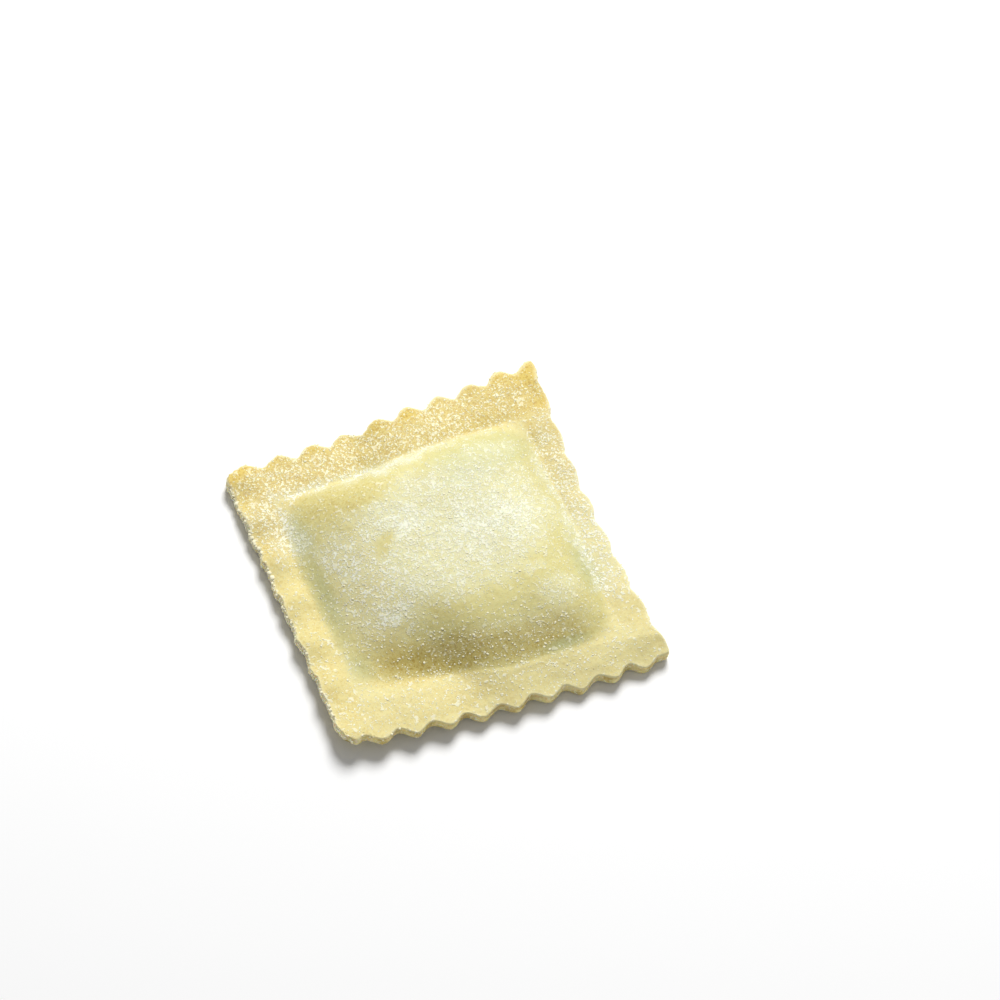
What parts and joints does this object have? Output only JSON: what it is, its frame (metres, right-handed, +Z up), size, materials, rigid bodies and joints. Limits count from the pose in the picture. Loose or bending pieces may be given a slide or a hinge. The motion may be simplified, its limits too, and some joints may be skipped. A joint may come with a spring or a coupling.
{
  "type": "raviolo",
  "caption": "Single square filled pasta parcel, uncooked, with a raised soft pillow inside a flat skirt of dough that has a fluted cut edge.",
  "frame": {"origin": "on the surface the raviolo lies on, under the middle of its outline", "axes": "+Z up through the pillow, +Y towards the back side of the square, +X towards its right side"},
  "size_m": [0.0628, 0.0654, 0.0097],
  "materials": {
    "egg_dough": "matte, floured fresh egg dough"
  },
  "bodies": {
    "root": {"raviolo": "egg_dough"}
  },
  "joints": []
}
